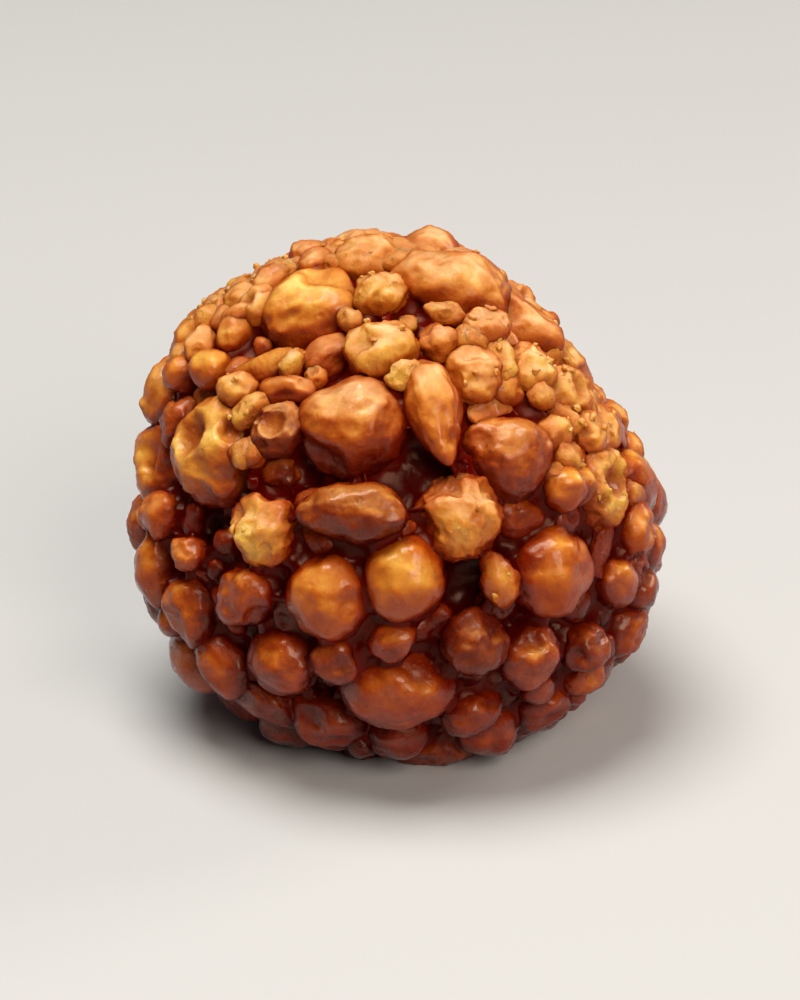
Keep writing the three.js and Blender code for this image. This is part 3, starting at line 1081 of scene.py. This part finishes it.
def makeFriedMaterial(name, dry, bump, glow, rim):
    material, tree, shader = startMaterial(
        name, Subsurface_Weight=0.7, Subsurface_Radius=(1.0, 0.30, 0.08), Subsurface_Scale=glow,
        Specular_Tint=(1.0, 0.68, 0.42, 1), Specular_IOR_Level=0.34, Coat_Roughness=0.12, IOR=1.47)
    tone, soakAndShade = attributeOf(tree, "tone"), attributeOf(tree, "soakAndShade")
    crown, crumple = attributeOf(tree, "crown"), attributeOf(tree, "crumple")
    hollowShade, drained = attributeOf(tree, "hollowShade"), attributeOf(tree, "drained")
    crust = useGroup(tree, grain)
    wetness = useGroup(tree, film)
    mottle = addNoise(tree, Scale=fried["mottleSize"], Detail=3.0).outputs["Fac"]

    # the tone of each drop, patchy
    patchy = addRange(tree, mottle, 0.3, 0.7, -fried["mottle"], fried["mottle"])
    grainy = addRange(tree, crust.outputs["Shade"], 0.3, 0.7, -fried["grain"], fried["grain"])
    ramp = addNode(tree, "ShaderNodeValToRGB")
    shade = addMath(tree, "ADD", addMath(tree, "ADD", tone, patchy), grainy, clamp=True)
    tree.links.new(shade, ramp.inputs["Fac"])
    stops = ramp.color_ramp.elements
    while len(stops) < len(fried["tones"]):
        stops.new(0.5)
    for stop, (place, color) in zip(stops, fried["tones"]):
        stop.position = place
        stop.color = (*color, 1)

    # paler on top: painted top light, partly the drier crust where the syrup has run down
    upperDry = addMath(tree, "MULTIPLY", addRange(tree, drained, *fried["drainedFrom"]),
                       addRange(tree, tone, *fried["darkFrom"], fried["paleDry"], 1.0))
    dryTop = addMath(tree, "ADD", addRange(tree, crumple, *fried["crumpledFrom"]), upperDry, clamp=True)
    # painted top light: the upward faces of each drop are mixed towards a pale crown colour
    paintedTopLight = addMath(tree, "MULTIPLY",
                      addRange(tree, crown, *fried["crownFrom"], 0.0, fried["crownShare"], smooth=True),
                      addRange(tree, dryTop, 0.0, 1.0, fried["crownWet"], 1.0))
    paintedTopColor = addMix(tree, dryTop, (*fried["crown"], 1), (*fried["dryLitCrown"], 1))
    color = addMix(tree, paintedTopLight, ramp.outputs["Color"], paintedTopColor)

    # painted shade in the crater hollows, and browned specks
    deepest = addMath(tree, "MULTIPLY", hollowShade, fried["hollowShare"])
    color = addMix(tree, deepest, color, (*fried["hollowShade"], 1))
    specks = addRange(tree, crust.outputs["Shade"], *fried["specksFrom"], 0.0, fried["speckShare"])
    color = addMix(tree, addMath(tree, "MULTIPLY", specks, dry), color, (*fried["specks"], 1))

    # darker and redder the deeper the syrup lies over it and in it, with painted shade between
    # neighbours, low down and underneath
    soaked = addMath(tree, "POWER", soakAndShade, fried["soakPower"])
    depth = addMath(tree, "ADD", addRange(tree, soaked, 0.0, 1.0, *fried["soakDepth"]),
                    addRange(tree, mottle, 0.35, 0.7, 0.0, fried["patchDepth"]))
    # painted shade: darker where the drop faces sideways or down
    underShade = addMath(tree, "MULTIPLY",
                    addRange(tree, crown, *fried["underShadeFrom"], 0.0, fried["underShadeDepth"], smooth=True),
                    addRange(tree, crumple, 0.3, 0.8, 1.0, fried["underShadeCrumpled"]))
    depth = addMath(tree, "ADD", depth, underShade)
    # darker where the drop turns away from the view: painted shade at each outline, partly a slanting
    # look through more of the syrup skin
    facing = addNode(tree, "ShaderNodeLayerWeight", Blend=0.5).outputs["Facing"]
    rimShade = addRange(tree, facing, *fried["rimShadeFrom"], 0.0, rim, smooth=True)
    stain = useGroup(tree, tint)
    tree.links.new(addMath(tree, "ADD", depth, rimShade), stain.inputs["Depth"])
    color = addMix(tree, 1.0, color, stain.outputs["Color"], "MULTIPLY")
    tree.links.new(color, shader.inputs["Base Color"])

    # wet and glossy below, drier and crumbly where it is crumpled
    amount = addMath(tree, "ADD", addMath(tree, "MULTIPLY", soakAndShade, fried["soakFilm"]),
                     addRange(tree, crumple, 0.0, 1.0, *fried["skinFilm"]))
    runOff = addRange(tree, drained, 0.3, 1.0, 0.0, fried["drainedLess"])
    tree.links.new(addMath(tree, "SUBTRACT", amount, runOff), wetness.inputs["Amount"])
    smoothDry, moreBroken = fried["dryRoughness"]
    roughness = addRange(tree, wetness.outputs["Film"], 0.0, 1.0, smoothDry + moreBroken * dry,
                         fried["wetRoughness"])
    tree.links.new(roughness, shader.inputs["Roughness"])
    gloss = addMath(tree, "MULTIPLY", wetness.outputs["Film"],
                    addRange(tree, soakAndShade, 0.5, 1.0, *fried["coat"]))
    tree.links.new(gloss, shader.inputs["Coat Weight"])
    rough = addMath(tree, "MULTIPLY", crust.outputs["Height"],
                    addRange(tree, crumple, 0.0, 1.0, fried["smoothRelief"], 1.0))
    addRelief(tree, shader, rough, bump, 0.0004)
    return material


poured = {
    "color": (0.70, 0.24, 0.05, 1),
    "depth": (1.6, 3.6),  # that it is seen through, where it is thin and where it is thick
    "roughness": (0.36, 0.2),  # where it is dull and where it is wet
    "patchSize": 700.0,
    "wet": 0.6,
    "rippleSize": 700.0,
    "ripple": 0.3,
}


def makeSyrupMaterial():
    material, tree, shader = startMaterial(
        "jaggery syrup", Subsurface_Weight=0.0, Specular_Tint=(1.0, 0.60, 0.42, 1),
        Specular_IOR_Level=0.17, IOR=1.49)
    # darker where thick: thicker syrup, and painted shade in the wide gaps and low down
    depth = addRange(tree, attributeOf(tree, "thickAndShaded"), 0.0, 1.0, *poured["depth"])
    stain = useGroup(tree, tint)
    tree.links.new(depth, stain.inputs["Depth"])
    color = addMix(tree, 1.0, poured["color"], stain.outputs["Color"], "MULTIPLY")
    tree.links.new(color, shader.inputs["Base Color"])
    wetness = useGroup(tree, film, Patch_Size=poured["patchSize"], Amount=poured["wet"])
    roughness = addRange(tree, wetness.outputs["Film"], 0.0, 1.0, *poured["roughness"])
    tree.links.new(roughness, shader.inputs["Roughness"])
    ripple = addNoise(tree, Scale=poured["rippleSize"], Detail=2.0)
    addRelief(tree, shader, ripple.outputs["Fac"], poured["ripple"], 0.0003)
    return material


smoothFried = makeFriedMaterial("fried drops", dry=0.4, bump=0.5, glow=0.0015, rim=0.5)
roughFried = makeFriedMaterial("broken drops", dry=1.0, bump=0.7, glow=0.0006, rim=0.35)
crustFried = makeFriedMaterial("crumbly crust", dry=1.0, bump=0.8, glow=0.00025, rim=0.1)
finishes = {"boondi_craters": roughFried, "boondi_flakes": roughFried,
            "boondi_crust": crustFried, "boondi_crumbs": crustFried}
for name, piece in pieces.items():
    piece.data.materials.append(finishes.get(name, smoothFried))
syrupCore.data.materials.append(makeSyrupMaterial())
print("materials made")


stage = {
    "floor": 4.0,  # m across
    "floorColor": (0.52, 0.525, 0.53, 1),
    "worldColor": (0.95, 0.96, 1.0, 1),
    "worldStrength": 0.05,
    # place and width in m, power in W and color
    "lights": {
        "key light": ((-0.10, -0.02, 0.60), 0.38, 4.35, (1.0, 0.97, 0.91)),
        "fill light": ((0.26, -0.52, 0.42), 0.42, 3.35, (1.0, 0.90, 0.78)),
        "rim light": ((0.42, 0.20, 0.24), 0.20, 0.9, (1.0, 0.88, 0.80)),
    },
    "lightsAim": (0, 0, 0.02),
    "elevation": 25.0,  # degrees, of the camera
    "lens": 200.0,
    "sensor": 36.0,
    "tall": 1000 / 800,  # the picture's height against its width
    "share": 0.66,  # of the picture's width that the ladoo takes
}


def aimAt(obj, target):
    obj.rotation_euler = (Vector(target) - obj.location).to_track_quat("-Z", "Y").to_euler()


def addSoftLight(name, place, size, power, color):
    bpy.ops.object.light_add(type="AREA", location=place)
    light = bpy.context.object
    light.name = name
    light.data.shape = "DISK"
    light.data.size = size
    light.data.energy = power
    light.data.color = color
    aimAt(light, stage["lightsAim"])


bpy.ops.object.select_all(action="DESELECT")
bpy.ops.mesh.primitive_plane_add(size=stage["floor"], location=(0, 0, 0))
floor = bpy.context.object
floor.name = "floor"
floorMaterial, _, shader = startMaterial("pale floor", Roughness=0.7)
shader.inputs["Base Color"].default_value = stage["floorColor"]
floor.data.materials.append(floorMaterial)

for name, values in stage["lights"].items():
    addSoftLight(name, *values)

world = bpy.data.worlds.new("studio")
bpy.context.scene.world = world
world.use_nodes = True
background = world.node_tree.nodes["Background"]
background.inputs["Color"].default_value = stage["worldColor"]
background.inputs["Strength"].default_value = stage["worldStrength"]

distance = stage["lens"] / stage["sensor"] * ball["width"] * mm / stage["share"] * stage["tall"]
tilt = math.radians(stage["elevation"])
target = Vector((0, 0, ball["middleHeight"] * mm))
bpy.ops.object.camera_add(location=target + Vector((0, -math.cos(tilt), math.sin(tilt))) * distance)
camera = bpy.context.object
aimAt(camera, target)
camera.data.lens = stage["lens"]
camera.data.clip_start = 0.01
bpy.context.scene.camera = camera
bpy.context.scene.view_settings.view_transform = "Standard"
print("stage set")

for piece in [*pieces.values(), syrupCore]:
    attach(piece, "root")
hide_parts("ladoo")

for master in masters.values():
    bpy.data.objects.remove(master)
